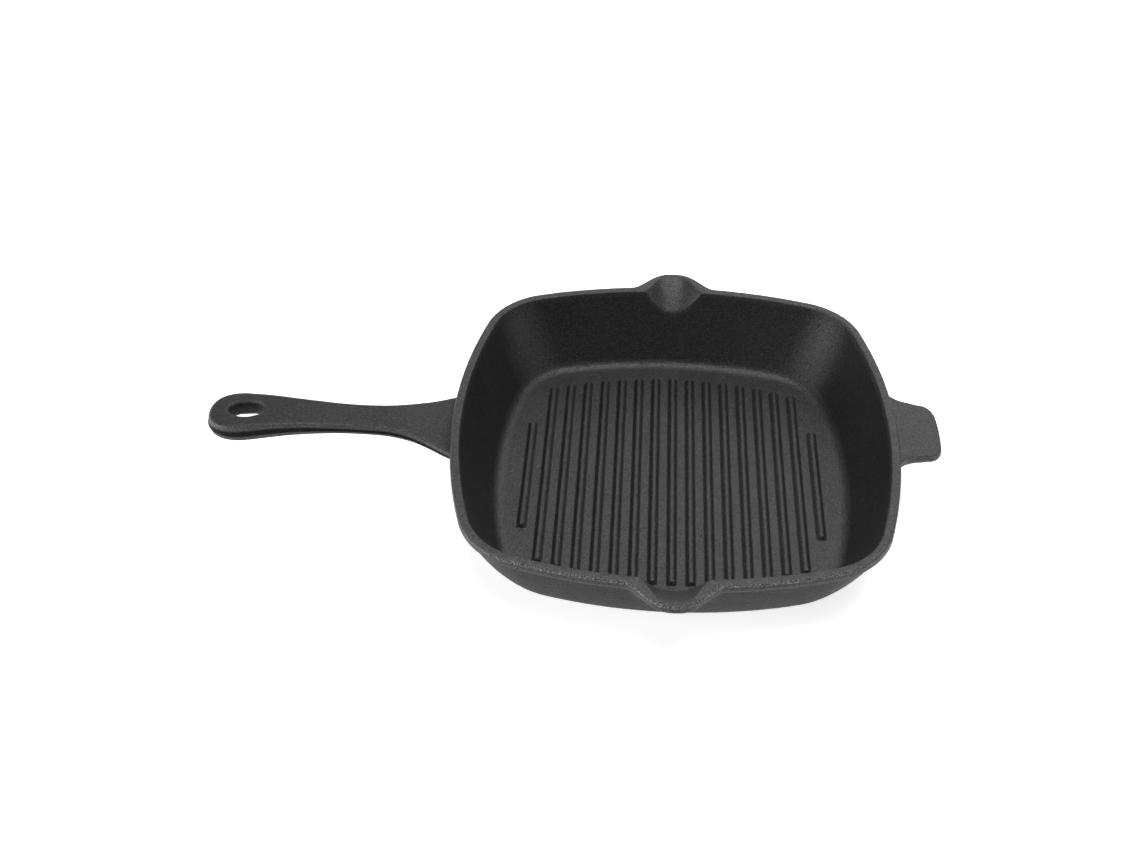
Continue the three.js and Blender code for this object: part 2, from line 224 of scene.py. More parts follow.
def turned_out(points, normals, faces):
    """The faces, each turned so that it faces the way its points' normals do."""
    result = []
    for face in faces:
        corners = points[face]
        area = np.zeros(3)
        if len(face) == 4:
            area = np.cross(corners[2] - corners[0], corners[3] - corners[1])
        else:
            for k in range(1, len(face) - 1):
                area += np.cross(corners[k] - corners[0], corners[k + 1] - corners[0])
        result.append(face if area @ normals[face].sum(0) >= 0 else face[::-1])
    return result


# ---------------------------------------------------------------- the pan's outline and section


def outline(turn, corner=RIM_CORNER):
    """The outline with these corners where it faces each direction, in plan."""
    radius, centre, start = corner
    quarter = np.round(turn / QUARTER) * QUARTER
    local = turn - quarter
    across, along = np.cos(local), np.sin(local)
    side = np.abs(local) <= start
    x = np.where(side, SIDE_RADIUS * across - SIDE_OFFSET, centre + radius * across)
    y = np.where(side, SIDE_RADIUS * along, np.sign(local) * centre + radius * along)
    c, s = np.cos(quarter), np.sin(quarter)
    return np.stack([x * c - y * s, x * s + y * c], -1)


def facing(turn):
    return np.stack([np.cos(turn), np.sin(turn)], -1)


def placed(turn, out, height):
    """Points at distances out from the rim and heights; below the lip the outline gets rounder."""
    drop = (HEIGHT - LIP_DEPTH - height) / (HEIGHT - LIP_DEPTH - FLOOR_TOP)
    edge = mix(outline(turn), outline(turn, LOW_CORNER), np.clip(drop, 0, 1)[..., None])
    return np.concatenate([edge + facing(turn) * out[..., None], height[..., None]], axis=-1)


def inner_wall(share):
    inset = RIM_WIDTH + WALL_LEAN * share + WALL_CURL * share**2
    return np.stack([-inset, HEIGHT - WALL_DROP * share], -1)


def outer_wall(share):
    lean = WALL_LEAN + 2 * WALL_CURL * share
    normal = unit(np.stack([np.full_like(share, WALL_DROP), -lean], -1))
    return inner_wall(share) + WALL * normal


def hump(share, power):
    return np.where(share < 1, (1 + np.cos(np.pi * np.minimum(share, 1) ** power)) / 2, 0.0)


def section(away, spouted):
    """Closed sections (out, height), one per distance from a spout's middle, and each point's finish, with
    its painted highlight and painted shade.
    """
    rings = len(away)
    away = np.abs(away)[:, None]
    reach = SPOUT_REACH * hump(away / SPOUT_HALF, 1.3)
    mouth = SPOUT_MOUTH_REACH * hump(away / SPOUT_MOUTH_HALF, 1.6)
    throat = SPOUT_DEPTH * np.maximum(0, 1 - (away / SPOUT_THROAT_HALF) ** 2)

    def fixed(x, z):
        shape = np.broadcast_shapes(np.shape(x), np.shape(z), (rings, 1))
        return np.stack([np.broadcast_to(x, shape), np.broadcast_to(z, shape)], -1)

    def share_at(depth):
        return depth / WALL_DROP

    rows, wear = [], []

    def add(points, worn_and_painted_light=0.0):
        points = np.broadcast_to(points, (rings,) + points.shape[1:])
        rows.append(points)
        wear.append(np.broadcast_to(worn_and_painted_light, points.shape[:2]))

    def steps(count):
        return np.linspace(0, 1, count)[None, :, None]

    def run(count):
        """Steps that leave out the first, which the last run has added."""
        return np.linspace(0, 1, count + 1)[None, 1:, None]

    foot = fixed(FLOOR_STRIP - FLOOR_INSET, FLOOR_TOP)
    add(fixed(-FLOOR_INSET, FLOOR_TOP))
    fillet_top = inner_wall(np.full((rings, 1), FILLET_START))
    add(bezier(foot, inner_wall(np.ones((rings, 1))), fillet_top, steps(9)))
    below_crease = share_at(throat + RIM_EDGE)
    shares = mix(FILLET_START, below_crease, run(26)[..., 0])
    add(inner_wall(shares))

    # the rim's inner edge, which a spout opens out into its trough
    start = inner_wall(below_crease)
    corner = inner_wall(share_at(throat))
    lip_inner = fixed(mouth - RIM_WIDTH, HEIGHT)
    end = fixed(mouth - RIM_WIDTH + RIM_EDGE, HEIGHT)
    if spouted:
        bend = np.stack([
            mix(corner[..., 0], lip_inner[..., 0], 0.5),
            mix(corner[..., 1], lip_inner[..., 1], 0.66)], -1)
        low, high = 0.06, 0.9
        crease = bezier(start, corner, bezier(corner, bend, lip_inner, low), run(8))
        trough = bezier(corner, bend, lip_inner, mix(low, high, run(22)))
        brink = bezier(bezier(corner, bend, lip_inner, high), lip_inner, end, run(8))
        spout = np.concatenate([crease, trough, brink], axis=1)
        plain = bezier(start, corner, end, run(spout.shape[1]))
        opened = smooth((SPOUT_THROAT_HALF + 0.6 - away) / 4.5)[..., None]
        add(mix(plain, spout, opened))
    else:
        add(bezier(start, corner, end, run(8)))

    # the rim's ground band and edge: bright grains, partly a painted highlight
    add(mix(end, fixed(reach - RIM_ROUND, HEIGHT), run(5)), np.linspace(0, 0.3, 5))
    turn = run(8)[..., 0] * QUARTER
    add(fixed(reach - RIM_ROUND * (1 - np.sin(turn)), HEIGHT - RIM_ROUND * (1 - np.cos(turn))), GROUND)

    # a fine step under the ground edge, the lip's side face, its lower ridge with a faint painted
    # highlight, and the wall below, painted darker as shade towards the base
    side = HEIGHT - RIM_ROUND
    add(fixed(reach - 0.05, side - 0.15), 0.8)
    add(fixed(reach - 0.3, side - 0.35), 0.3)
    add(fixed(reach - 0.27, side - 0.6), 0.0)
    add(fixed(reach - 0.08, side - 0.9), 0.0)
    ridge_top = fixed(reach + 0.18, HEIGHT - LIP_DEPTH + 0.35)
    add(mix(fixed(reach - 0.02, side - 1.15), ridge_top, steps(3)))
    ridge_low = fixed(reach - 0.25, HEIGHT - LIP_DEPTH - 0.55)
    add(bezier(ridge_top, fixed(reach + 0.3, HEIGHT - LIP_DEPTH - 0.2), ridge_low, run(5)), LIP_RIDGE)

    def beak(points):
        drop = np.clip((HEIGHT - LIP_DEPTH - points[..., 1]) / SPOUT_BLEND, 0, 1)
        out = points[..., 0] + reach * (1 - drop) ** 1.5
        return np.stack([out, points[..., 1]], -1)

    under = beak(outer_wall(np.full((rings, 1), UNDER_LIP)))
    under_bend = beak(outer_wall(np.full((rings, 1), UNDER_LIP_BEND)))
    # painted shade: the outer wall is darkened, most towards the base
    add(bezier(ridge_low, under_bend, under, run(7)), np.linspace(0, OUTER_TOP, 7))
    below = np.broadcast_to(mix(UNDER_LIP, HEEL_START, run(24)[..., 0]), (rings, 24))
    add(beak(outer_wall(below)), np.linspace(OUTER_TOP, OUTER_LOW, 24))
    heel = outer_wall(np.full((rings, 1), HEEL_START))
    heel_bend = fixed(-RIM_WIDTH - WALL_LEAN - WALL_CURL + HEEL_OUT, 0.0)
    add(bezier(heel, heel_bend, fixed(FLOOR_STRIP - FLOOR_INSET, 0.0), run(9)), OUTER_LOW)
    add(fixed(-FLOOR_INSET, 0.0))
    return np.concatenate(rows, axis=1), np.concatenate(wear, axis=1)


def ring_turns(start, stop, spacing):
    """Directions from start to stop at that spacing along the rim, and two spare ones past each end."""
    middle = (start + stop) / 2
    on_side = abs(middle - round(middle / QUARTER) * QUARTER) < SIDE_ANGLE
    radius = SIDE_RADIUS if on_side else CORNER_RADIUS
    count = max(4, round((stop - start) * radius / spacing))
    step = (stop - start) / count
    return start + step * np.arange(-2, count + 3)


def ring_points(turns, middle=None):
    """The wall's skin over the given directions: a grid of points, and its finish, painted light included.
    """
    if middle is None:
        shape, wear = section(np.full(len(turns), 99.0), False)
    else:
        shape, wear = section(SIDE_RADIUS * np.sin(turns - middle), True)
    return placed(turns[:, None], shape[..., 0], shape[..., 1]), wear


def fixed_base(points):
    """0 on the flat base, so that the pan stands flat, and 1 above it."""
    return smooth(points[..., 2] / 2.0)


def ring_piece(name, start, stop, middle=None):
    """A length of wall with its rim, from one direction to another; middle is its spout's direction."""
    turns = ring_turns(start, stop, RING_SPACING)
    grid, wear = ring_points(turns, middle)
    normals = grid_normals(grid)
    if normals[len(normals) // 2, 0, 2] < 0:
        normals = -normals
    # the rim's ground edge is painted brightest at the front and rear, a painted highlight; the inner
    # walls are painted darker than the corners, a painted shade
    wear = np.where(wear > 0, wear * mix(0.12, 1.0, np.abs(np.sin(turns)) ** 2)[:, None], wear)
    across, along = np.cos(turns[:, None]), np.sin(turns[:, None])
    wear[:, INNER_ROWS] -= 0.45 * across**6 + 0.22 * along**6
    offset = unevenness(grid, 0.1 * wear) * fixed_base(grid)
    grid = grid + normals * offset[..., None]
    grid[..., 2] = np.clip(grid[..., 2], 0.0, HEIGHT + 0.09)
    shaded = agreeing(grid_normals(grid), normals)
    shaded[:, 0], shaded[:, -1] = (0, 0, 1), (0, 0, -1)
    grid, shaded, wear = grid[2:-2], shaded[2:-2], wear[2:-2]

    skin = Skin()
    skin.quads(skin.add(grid, shaded, wear))
    joint = grid[:, [0, -1]]
    inwards = np.array([-math.cos((start + stop) / 2), -math.sin((start + stop) / 2), 0.0])
    skin.quads(skin.add(joint, inwards))
    for ring, turn, way in ((grid[0], start, 1), (grid[-1], stop, -1)):
        skin.polygon(ring, (way * math.sin(turn), -way * math.cos(turn), 0.0))
    return skin.build(name, name, iron)


# ---------------------------------------------------------------- floor and ribs

RIB_PITCH = 10.9
RIB_COUNT = 17
RIB_TOP_HALF = 1.03
RIB_FOOT_HALF = 2.85
RIB_HEIGHT = 2.65
RIBS_SHIFT = 0.8  # the whole set of ribs sits this far to the right
RIBS_TURN = -0.0066  # and is turned by this much, in radians
RIB_CROWDING = 0.55  # the middle ribs stand this much further right, the outer ones less
RIB_HALF = 90.0
RIB_END_RADIUS = 230.0
SHORT_RIB_HALF = 46.4
SHORT_RIB_SHIFT = -3.6
RIB_FOOT_FILLET = 0.75
RIB_TOP_ROUND = 0.4
RIB_SINK = 0.3  # a rib's underside lies this far inside the floor


def floor_piece():
    turns = np.concatenate([
        ring_turns(side + first, side + last, FLOOR_SPACING)[2:-3]
        for side in (RIGHT, REAR, LEFT, FRONT)
        for first, last in ((-SIDE_ANGLE, SIDE_ANGLE), (SIDE_ANGLE, QUARTER - SIDE_ANGLE))])
    edge = outline(turns, LOW_CORNER) - FLOOR_INSET * facing(turns)
    shares = np.linspace(1, 0.02, 44)[:, None, None]
    plan = edge[None] * shares
    grid = np.concatenate([plan, np.full(plan.shape[:-1] + (1,), FLOOR_TOP)], -1)
    grid[..., 2] += unevenness(grid)
    grid_shut = np.concatenate([grid, grid[:, :1]], axis=1)
    normals = grid_normals(grid_shut)[:, :-1]
    normals = normals * np.sign(normals[..., 2:])
    normals[0] = (0, 0, 1)
    skin = Skin()
    skin.quads(skin.add(grid, normals), closed=True)
    skin.polygon(grid[-1], (0, 0, 1))
    base = np.concatenate([edge, np.zeros((len(edge), 1))], -1)
    skin.polygon(base, (0, 0, -1))
    side = np.concatenate([facing(turns), np.zeros((len(edge), 1))], -1)
    skin.quads(skin.add(np.stack([grid[0], base]), side), closed=True)
    return skin.build("pan_floor", "pan_floor", iron)


def rib_ring(half, length, rear_radius, front_radius, z, stations):
    """A bar's outline in plan at one height, anticlockwise from its front right corner."""
    corners = ((1, -1, front_radius), (1, 1, rear_radius), (-1, 1, rear_radius), (-1, -1, front_radius))
    points = []
    for k, (sx, sy, radius) in enumerate(corners):
        angles = (k - 1) * QUARTER + np.linspace(0, QUARTER, 7)
        x = sx * (half - radius) + radius * np.cos(angles)
        y = sy * (length - radius) + radius * np.sin(angles)
        points.append(np.stack([x, y], -1))
        if k % 2 == 0:
            share = np.linspace(0, 1, stations)[1:-1, None]
            top = sy * (length - radius), -sy * (length - (rear_radius if sy < 0 else front_radius))
            line = np.concatenate([np.full_like(share, sx * half), mix(top[0], top[1], share)], -1)
            points.append(line)
    plan = np.concatenate(points)
    return np.concatenate([plan, np.full((len(plan), 1), z)], -1)


def rib_piece(name, x, shift, length):
    """A raised rib: a filleted foot, drafted flanks and ends, and a flat top with soft edges."""
    slope = (RIB_FOOT_HALF - RIB_TOP_HALF) / RIB_HEIGHT
    profile = []  # how far out from the foot, and height over the floor
    foot = RIB_FOOT_FILLET
    for t in np.linspace(0, 1, 6):
        out, up = bezier(np.array([foot, -0.03]), np.array([0.0, 0.0]), np.array([-slope * foot, foot]), t)
        profile.append((out, up))
    edge = RIB_TOP_ROUND
    for t in np.linspace(0, 1, 6):
        low = np.array([-slope * (RIB_HEIGHT - edge), RIB_HEIGHT - edge])
        high = np.array([-slope * RIB_HEIGHT - edge, RIB_HEIGHT])
        out, up = bezier(low, np.array([-slope * RIB_HEIGHT, RIB_HEIGHT]), high, t)
        profile.append((out, up))
    rings = []
    stations = round(2 * length / 2.6)
    for out, up in profile:
        half = RIB_FOOT_HALF + out
        rear = min(half, max(0.35, 2.3 + 0.9 * out))
        front = min(half, max(0.3, 1.5 + 0.7 * out))
        rings.append(rib_ring(half, length + out, rear, front, FLOOR_TOP + up, stations))
    grid = np.stack(rings)
    grid[..., 0] += x
    grid[..., 1] += shift
    turned = grid[..., 0] * math.cos(RIBS_TURN) - grid[..., 1] * math.sin(RIBS_TURN)
    grid[..., 1] = grid[..., 0] * math.sin(RIBS_TURN) + grid[..., 1] * math.cos(RIBS_TURN)
    outermost = RIB_PITCH * (RIB_COUNT - 1) / 2
    grid[..., 0] = turned + RIBS_SHIFT + RIB_CROWDING * (0.6 - (x / outermost) ** 2)
    normals = ring_normals(grid)
    normals = normals if normals[3, 3, 0] > 0 else -normals
    height = (grid[..., 2] - FLOOR_TOP) / RIB_HEIGHT
    base = np.stack([grid[..., 0], grid[..., 1], np.full(height.shape, FLOOR_TOP)], -1)
    grid = grid + np.array([0.0, 0.0, 1.0]) * unevenness(base)[..., None]
    grid[..., 0] += 0.09 * noise(grid, 9.0, 6) * smooth(height * 2)
    shaded = agreeing(ring_normals(grid), normals)
    shaded[0] = shaded[-1] = (0, 0, 1)
    wear = np.zeros(grid.shape[:-1])
    wear[6:11] = RIB_EDGE
    skin = Skin()
    skin.quads(skin.add(grid, shaded, wear), closed=True)
    half = grid.shape[1] // 2
    right, left = grid[-1, :half], grid[-1, half:][::-1]
    skin.quads(skin.add(np.stack([right, left]), (0, 0, 1)))
    under = grid[0] - np.array([0, 0, RIB_SINK])
    skin.quads(skin.add(np.stack([under[:half], under[half:][::-1]]), (0, 0, -1)))
    skin.quads(skin.add(np.stack([grid[0], under]), unit(shaded[3] * (1, 1, 0) + 1e-9)), closed=True)
    return skin.build(name, name, iron)


def long_rib_half(x):
    return RIB_HALF - RIB_END_RADIUS + math.sqrt(RIB_END_RADIUS**2 - x**2)


# ---------------------------------------------------------------- handles

# The main handle along its length: distance from the pan's centre, half width, top and thickness.
SHANK = np.array([
    [120, 29.5, 41.6, 5.4],
    [131, 25.2, 41.8, 5.5],
    [137, 22.2, 42.1, 5.6],
    [144, 18.7, 42.9, 5.9],
    [153, 14.9, 44.3, 6.6],
    [165, 11.7, 45.3, 7.1],
    [181, 10.6, 45.6, 6.9],
    [198, 10.8, 46.1, 7.1],
    [214, 11.6, 47.0, 8.5],
    [230, 13.2, 47.6, 9.8],
    [242, 14.8, 47.7, 10.8],
    [252, 16.0, 47.3, 11.2],
    [265, 17.0, 46.9, 10.8],
    [279, 17.0, 46.6, 10.6]])
TIP_START = 252.0
TIP_SWELL = (266.0, 18.7)
TIP_CORNER = 12.6
HANDLE_END = 276.9
HANDLE_ROOT = 123.7  # the casting's handle runs on into the wall
HOLE_CENTRE = -254.0
HOLE_HALF_LENGTH = 12.3
HOLE_HALF_WIDTH = 7.9
HOLE_SHIFT = 0.6  # the hole sits this far towards the rear edge
HOLE_ROUND = 1.1
HOLE_START = 236.0  # the shank's plain rows end here, short of the hole
HOLE_WAIST = 0.5  # the hole narrows by this much all round at mid depth
HANDLE_BEND = 14.0  # the length over which a handle's root takes up the bow of the wall

TAB_END = 154.5
TAB_HALF = 23.5
TAB_TOP = 49.0
TAB_THICK = 5.8
TAB_CORNER = 8.0
TAB_BOW = 0.8
TAB_ROOT_RADIUS = 8.0
TAB_ROOT = 125.2
TAB_BEND = 8.0
ROUND_RINGS = 7


def spline(distance, column):
    """A smooth curve through one column of the handle's table."""
    stations = SHANK[:, 0]
    values = SHANK[:, column]
    slopes = np.gradient(values, stations)
    k = np.clip(np.searchsorted(stations, distance, side="right") - 1, 0, len(stations) - 2)
    span = stations[k + 1] - stations[k]
    t = np.clip((distance - stations[k]) / span, 0, 1)
    start, end = values[k], values[k + 1]
    from_start = t * t * (3 - 2 * t) * (end - start) + start
    return from_start + span * (t * (1 - t) ** 2 * slopes[k] - t * t * (1 - t) * slopes[k + 1])


def even(line, count):
    """The same open line as evenly spaced points."""
    along = np.concatenate([[0], np.cumsum(np.linalg.norm(np.diff(line, axis=0), axis=1))])
    at = np.linspace(0, along[-1], count)
    return np.stack([np.interp(at, along, line[:, k]) for k in range(line.shape[1])], -1)


def plate_edge(half_line, count):
    """A mirrored outline, from the rear of the root round the end to its front, and its facings."""
    line = even(half_line, count)
    full = np.concatenate([line, (line * (1, -1))[-2::-1]])
    along = unit(np.gradient(full, axis=0))
    out = np.stack([-along[:, 1], along[:, 0]], -1)
    middle = full.mean(0)
    out = out if ((full - middle) * out).sum() > 0 else -out
    return full, out


def plate_side(edge, out, top, bottom, round_top, round_bottom, bulges):
    """Rings down a plate's side: a rounded top edge, a face that bulges to the parting line, and below."""
    rings = []

    def ring(shift, z):
        rings.append(np.concatenate([edge + out * np.reshape(shift, (-1, 1)), np.reshape(z, (-1, 1))], -1))

    for t in np.linspace(0, QUARTER, ROUND_RINGS):
        ring(round_top * (math.sin(t) - 1), top - round_top * (1 - math.cos(t)))
    for k, bulge in enumerate(bulges):
        ring(bulge, mix(top - round_top, bottom + round_bottom, (k + 1) / (len(bulges) + 1)))
    for t in np.linspace(QUARTER, 0, ROUND_RINGS):
        ring(round_bottom * (math.sin(t) - 1), bottom + round_bottom * (1 - math.cos(t)))
    return np.stack(rings)


def rough_side(grid, amount, seed):
    """The side's grid pushed in and out by the cast skin, most where amount is high."""
    normals = agreeing(grid_normals(grid), grid - grid.mean((0, 1)))
    coarse = 0.6 * noise(grid, 1.6, seed) + 0.4 * noise(grid, 0.8, seed + 1)
    grid = grid + normals * (unevenness(grid) + amount * coarse)[..., None]
    return grid, agreeing(grid_normals(grid), normals)


def bent_root(points, start, length):
    """The points, those by the root following the bow of the pan's side."""
    away = np.clip((np.abs(points[..., 0]) - start) / length, 0, 1)
    shift = points[..., 1] ** 2 / (2 * SIDE_RADIUS) * (1 - smooth(away))
    x = points[..., :1] - np.sign(points[..., :1]) * shift[..., None]
    return np.concatenate([x, points[..., 1:]], -1)


def cap_root(skin, side, rows, facing_in):
    """Closes a handle where it ends inside the wall, between its top row and its bottom row."""
    top, bottom = rows
    skin.quads(skin.add(np.stack([top, bottom]), facing_in))
    for end in (0, -1):
        skin.polygon(side[:, end], facing_in)


def face_rows(rear, front, columns, height):
    """A grid across a plate from its rear edge to its front edge; its edges keep their own heights."""
    share = np.linspace(0, 1, columns)[None, :, None]
    grid = mix(rear[:, None], front[:, None], share)
    inner = grid[:, 1:-1]
    grid[:, 1:-1, 2] = height(inner) + unevenness(inner)
    return grid


def fillet(distance, height, start, length):
    """How much a face rises towards the wall, over that length from the start."""
    return height * np.clip(1 - (distance - start) / length, 0, 1) ** 2


def handle_top(distance):
    """The top face's height, with a small fillet up to the wall."""
    return spline(distance, 2) + fillet(distance, 1.2, 126, 3.5)


def handle_thickness(distance):
    """The handle's thickness, with fillets above and below where it meets the wall."""
    return spline(distance, 3) + (fillet(distance, 1.2, 126, 3.5) + fillet(distance, 3.5, 124.5, 6))


def handle_edge():
    """The main handle's outline in plan, and its facings."""
    shank = np.arange(HANDLE_ROOT, TIP_START, 1.0)
    line = [np.stack([-shank, spline(shank, 1)], -1)]
    t = np.linspace(0, 1, 60)[:, None]
    a, b, c, d = (np.array(p, float) for p in (
        (-TIP_START, 16.0), (-TIP_SWELL[0], TIP_SWELL[1]), (-HANDLE_END, TIP_CORNER), (-HANDLE_END, 0)))
    line.append((1 - t) ** 3 * a + 3 * t * (1 - t) ** 2 * b + 3 * t * t * (1 - t) * c + t**3 * d)
    edge, out = plate_edge(np.concatenate(line), 220)
    flare = np.clip((152 + edge[:, 0]) / 22, 0, 1) ** 2  # fuller towards the front of the root
    edge[:, 1] -= 1.2 * flare * np.where(edge[:, 1] < 0, 1.0, 0.2)
    return edge, out


def main_handle():
    edge, out = handle_edge()
    distance = -edge[:, 0]
    top = handle_top(distance)
    bottom = top - handle_thickness(distance)
    swell = smooth((distance - 215) / 50)
    bulges = (0.15, 0.3, 0.45, 0.8, 0.45, 0.28, 0.1)
    side = plate_side(edge, out, top, bottom, mix(2.5, 3.5, swell), mix(1.5, 1.2, swell), bulges)

    at_front = edge[:, 1] < 0
    rough = np.where(at_front, 0.24, 0.12) + 0.3 * smooth((160 - distance) / 22) * at_front
    ring = np.arange(len(side))
    band = np.exp(-((ring - 9) / 3.5) ** 2)
    # a faint bright line along the top edge, ground grains and partly a painted highlight, over the rough
    # band at the parting line, painted dark as a painted shade
    wear = 0.45 * np.exp(-((ring - 3) / 2.0) ** 2) - 1.0 * np.exp(-((ring - 9) / 2.6) ** 4) + HANDLE_FACE
    wear = wear[:, None] * np.ones(len(edge))
    side, shaded = rough_side(side, band[:, None] * rough[None], 11)

    count = len(edge)
    fold = np.searchsorted(distance[: count // 2], HOLE_START)
    skin = Skin()
    skin.quads(skin.add(bent_root(side, HANDLE_ROOT, HANDLE_BEND), shaded, wear))
    hole_angle = None
    holes, root_rows = [], []
    for level, sign in ((0, 1.0), (-1, -1.0)):
        border = side[level]

        def height(points):
            reach = -points[..., 0]
            return handle_top(reach) if level == 0 else handle_top(reach) - handle_thickness(reach)

        shank_grid = face_rows(border[: fold + 1], border[::-1][: fold + 1], 13, height)
        normals = grid_normals(shank_grid)
        normals = normals * np.sign(normals[..., 2:]) * sign
        skin.quads(skin.add(bent_root(shank_grid, HANDLE_ROOT, HANDLE_BEND), normals, HANDLE_FACE))
        root_rows.append(bent_root(shank_grid[0], HANDLE_ROOT, HANDLE_BEND))

        # a ring patch from the end's edge and the shank's last row in to the hole
        outer = np.concatenate([border[fold: count - fold], shank_grid[-1][::-1][1:-1]])
        if hole_angle is None:
            hole_angle = np.arctan2(outer[:, 1], outer[:, 0] - HOLE_CENTRE)
        inner = hole_ring(hole_angle, 0.0)
        rings = [outer]
        for share in (0.15, 0.32, 0.5, 0.68, 0.84, 1.0):
            rings.append(np.concatenate([mix(outer[:, :2], inner, share), outer[:, 2:]], -1))
        patch = np.stack(rings)
        patch[1:, :, 2] = height(patch[1:]) + unevenness(patch[1:])
        normals = ring_normals(patch)
        normals = normals * np.sign(normals[..., 2:]) * sign
        skin.quads(skin.add(patch, normals, HANDLE_FACE), closed=True)
        holes.append(patch[-1, :, 2])

    hole_wall(skin, hole_angle, holes)
    root_side = bent_root(side, HANDLE_ROOT, HANDLE_BEND)
    cap_root(skin, root_side, root_rows, np.array([1.0, 0.0, 0.0]))
    return skin.build("main_handle", "main_handle", iron)


def hole_wall(skin, hole_angle, holes):
    """The hanging hole's wall, rounded at both ends, narrowest at mid depth, left rough and painted dark
    inside as shade.
    """
    high, low = holes
    rings, wears = [], []

    def hole_row(shrink, z, worn_and_painted_light):
        rings.append(np.concatenate([hole_ring(hole_angle, shrink), z[:, None]], -1))
        wears.append(worn_and_painted_light)

    for t in np.linspace(0, QUARTER, ROUND_RINGS):
        hole_row(HOLE_ROUND * math.sin(t), high - HOLE_ROUND * (1 - math.cos(t)), HOLE_RIM)
    for share in (0.2, 0.35, 0.5, 0.65, 0.8):
        waist = HOLE_WAIST * (1 - abs(share - 0.5) * 2)
        hole_row(HOLE_ROUND + waist, mix(high, low, share), HOLE_WALL)
    for t in np.linspace(QUARTER, 0, ROUND_RINGS):
        hole_row(HOLE_ROUND * math.sin(t), low + HOLE_ROUND * (1 - math.cos(t)), HOLE_RIM)
    wall = np.stack(rings)
    inside = np.array([HOLE_CENTRE, 0.0, 42.0])
    normals = agreeing(ring_normals(wall), inside - wall)
    rough = np.zeros(len(wall))
    rough[3:-3] = 0.3
    bump = 0.6 * noise(wall, 2.1, 21) + 0.4 * noise(wall, 1.0, 22)
    wall = wall + normals * (rough[:, None] * bump)[..., None]
    shaded = agreeing(ring_normals(wall), normals)
    shaded[0], shaded[-1] = (0, 0, 1), (0, 0, -1)
    skin.quads(skin.add(wall, shaded, np.array(wears)[:, None]), closed=True)


def hole_ring(angle, shrink):
    """The hanging hole's outline at each angle about its centre, a little squarer than an ellipse."""
    power = 2.2
    across = np.abs(np.cos(angle) / (HOLE_HALF_LENGTH - shrink)) ** power
    along = np.abs(np.sin(angle) / (HOLE_HALF_WIDTH - shrink)) ** power
    reach = (across + along) ** (-1 / power)
    return np.stack([HOLE_CENTRE + reach * np.cos(angle), HOLE_SHIFT + reach * np.sin(angle)], -1)


def helper_edge():
    """The helper handle's outline in plan, and its facings; its rear half is fuller and rounder."""
    def arc(*points, t):
        a, b, c = (np.array(point) for point in points)
        return bezier(a, b, c, t)

    t = np.linspace(0, 1, 24)[:, None]
    side = TAB_END - TAB_BOW
    flare = arc((RIM_HALF - 1.2, TAB_HALF + TAB_ROOT_RADIUS), (RIM_HALF + 1.4, TAB_HALF + 0.6),
                (RIM_HALF + TAB_ROOT_RADIUS + 2, TAB_HALF - 0.2), t=t)
    corner = arc((side - TAB_CORNER, TAB_HALF - 1.2), (side - 0.6, TAB_HALF - 1.6),
                 (side, TAB_HALF - 1.0 - TAB_CORNER), t=t)
    end = arc(corner[-1], (TAB_END, TAB_HALF - 2 * TAB_CORNER), (TAB_END, 0.0), t=t[1:])
    start = np.array([[TAB_ROOT, TAB_HALF + TAB_ROOT_RADIUS + 0.8]])
    edge, out = plate_edge(np.concatenate([start, flare, corner, end]), 130)
    front = edge[:, 1] < 0
    fuller = np.where(front, 0.9 * smooth((136 - edge[:, 0]) / 8), 1.6 * smooth((148 - edge[:, 0]) / 14))
    rounder = 2.2 * smooth((edge[:, 0] - 147) / 8) * smooth((edge[:, 1] - 8) / 10)
    edge[:, 1] += fuller - rounder
    return edge, out


def helper_handle():
    edge, out = helper_edge()
    middle = len(edge) // 2
    side = plate_side(edge, out, np.full(len(edge), TAB_TOP), np.full(len(edge), TAB_TOP - TAB_THICK),
                      1.5, 1.7, (0.1, 0.2, 0.45, 0.2, 0.1))
    ring = np.arange(len(side))
    band = np.exp(-((ring - 9) / 4.0) ** 2)[:, None] * np.ones(len(edge))
    # a bright line along the top edge: ground grains, partly a painted highlight
    wear = 0.3 * np.exp(-((ring - 4) / 2.0) ** 2)[:, None] * np.ones(len(edge))
    side, shaded = rough_side(side, 0.1 * band, 31)
    skin = Skin()
    skin.quads(skin.add(bent_root(side, TAB_ROOT, TAB_BEND), shaded, wear))
    root_rows = []
    for level, flat, sign in ((0, TAB_TOP, 1.0), (-1, TAB_TOP - TAB_THICK, -1.0)):
        border = side[level]
        grid = face_rows(border[: middle + 1], border[::-1][: middle + 1], 25,
                         lambda points: np.full(points.shape[:-1], flat))
        normals = grid_normals(grid[:-1])
        normals = np.concatenate([normals, normals[-1:]])
        normals = normals * np.sign(normals[..., 2:]) * sign
        skin.quads(skin.add(bent_root(grid, TAB_ROOT, TAB_BEND), normals))
        root_rows.append(bent_root(grid[0], TAB_ROOT, TAB_BEND))
    cap_root(skin, bent_root(side, TAB_ROOT, TAB_BEND), root_rows, np.array([-1.0, 0.0, 0.0]))
    return skin.build("helper_handle", "helper_handle", iron)


# ---------------------------------------------------------------- materials


IRON_DARK = (0.007, 0.007, 0.0072, 1)
IRON_LIGHT = (0.011, 0.011, 0.0113, 1)
IRON_GRAIN = (0.034, 0.034, 0.0347, 1)
BRIGHT_METAL = (0.17, 0.17, 0.173, 1)
PAINTED_SHADE_BLACK = (0.003, 0.003, 0.003, 1)
PAPER_TONES = (0.86, 0.86, 0.86, 1), (0.88, 0.88, 0.88, 1)
WHITE = (1, 1, 1, 1)
GLOW = 0.74
UNLIT_HALF = 0.088  # half the width of the square under the pan that doesn't glow, in metres


